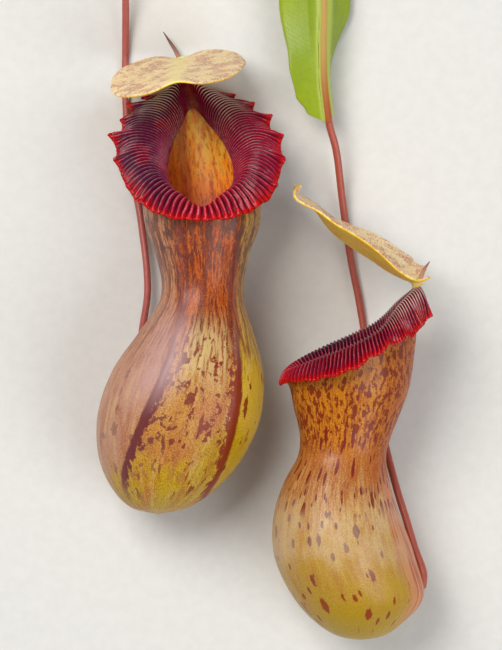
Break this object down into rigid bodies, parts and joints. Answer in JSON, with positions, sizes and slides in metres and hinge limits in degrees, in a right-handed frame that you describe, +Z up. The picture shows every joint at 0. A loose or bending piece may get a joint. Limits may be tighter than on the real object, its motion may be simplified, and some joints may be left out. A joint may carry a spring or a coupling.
{
  "type": "hanging pitcher plant",
  "caption": "Cut vine shoot of a tropical pitcher plant lying flat: strap leaves, wiry tendrils and waisted hollow pitchers with ribbed collars, lids and spurs",
  "frame": {"origin": "the middle of the footprint, on the surface the shoot lies on", "axes": "+Y runs along the shoot from the pitchers to the stem, +Z is up from the surface, +X is to the right when looking down with the stem at the top"},
  "size_m": [0.1524, 0.4094, 0.0611],
  "materials": {
    "left_pitcher_wall": "waxy, mottled pink-tan to yellow-green with red-brown stripes",
    "right_pitcher_wall": "waxy, olive-yellow with dark red-brown blotches",
    "collar": "glossy crimson, finely ribbed",
    "lid": "cream with fine pink-brown speckles above, yellow below",
    "spur": "dry brown",
    "left_tendril": "satin pinkish brown",
    "right_tendril": "satin red-brown",
    "leaf": "smooth leathery green with a pale midrib",
    "stem": "dull green-brown, woody"
  },
  "bodies": {
    "root": {"left_cup": "left_pitcher_wall", "left_collar": "collar", "left_lid": "lid", "left_spur": "spur", "left_tendril": "left_tendril", "right_cup": "right_pitcher_wall", "right_collar": "collar", "right_lid": "lid", "right_spur": "spur", "right_tendril": "right_tendril", "right_leaf": "leaf", "left_leaf": "leaf", "stem": "stem"}
  },
  "joints": []
}
